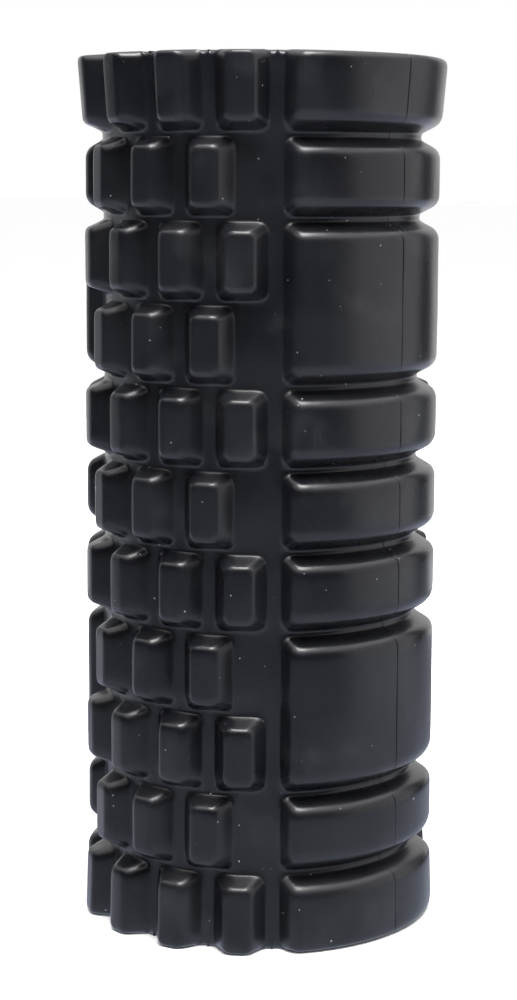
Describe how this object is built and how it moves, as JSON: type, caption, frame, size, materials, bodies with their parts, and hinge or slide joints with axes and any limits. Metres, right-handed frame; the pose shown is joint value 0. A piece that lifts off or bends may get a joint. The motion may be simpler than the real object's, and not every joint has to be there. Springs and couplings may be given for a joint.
{
  "type": "foam roller",
  "caption": "Hollow upright massage roller: a stiff tube wrapped in moulded black foam with zones of staggered lugs between zones of wide smooth blocks.",
  "frame": {"origin": "centre of the lower end face, on the plane the roller stands on", "axes": "+Z along the roller's axis; +X through the middle of the wide zone that holds the butt joint; the lug zones face -Y and +Y"},
  "size_m": [0.1404, 0.1392, 0.33],
  "materials": {
    "core_tube": "extruded black ABS, lightly drawn along its length",
    "adhesive_film": "dried contact cement, hidden",
    "foam_sheet": "satin moulded skin of closed-cell EVA foam, near black",
    "seam_bond": "thin dark line of contact cement"
  },
  "bodies": {
    "root": {"core_tube": "core_tube", "adhesive_film": "adhesive_film", "foam_sheet": "foam_sheet", "seam_bond": "seam_bond"}
  },
  "joints": []
}
